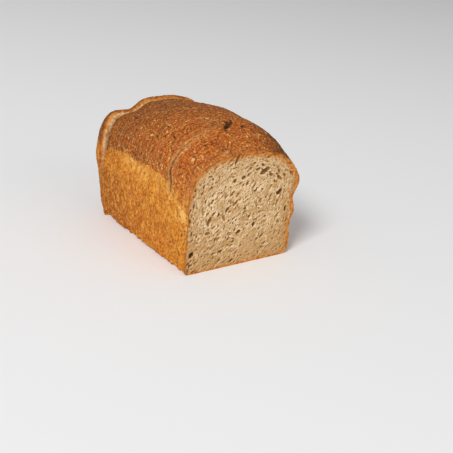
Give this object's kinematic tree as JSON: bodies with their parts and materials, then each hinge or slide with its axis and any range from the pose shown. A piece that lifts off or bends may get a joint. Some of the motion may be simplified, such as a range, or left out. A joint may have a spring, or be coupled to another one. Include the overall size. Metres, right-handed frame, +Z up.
{
  "type": "whole wheat bread loaf",
  "caption": "Whole wheat pan loaf with a domed brown crust and golden sides, cut flat at the front to show the open crumb, its heel slice standing behind it.",
  "frame": {"origin": "middle of the base, between the front cut and the back of the heel", "axes": "+Y from the cut face back along the loaf to the heel, +X to the right as the cut face is seen, +Z up"},
  "size_m": [0.1247, 0.153, 0.1175],
  "materials": {
    "crust": "baked brown crust, golden on the pan sides, with pale bran flakes; dull with a faint sheen",
    "crumb": "open porous wheat crumb with bran specks, fully matte"
  },
  "bodies": {
    "root": {"loaf": "crust", "heel": "crust"}
  },
  "joints": []
}
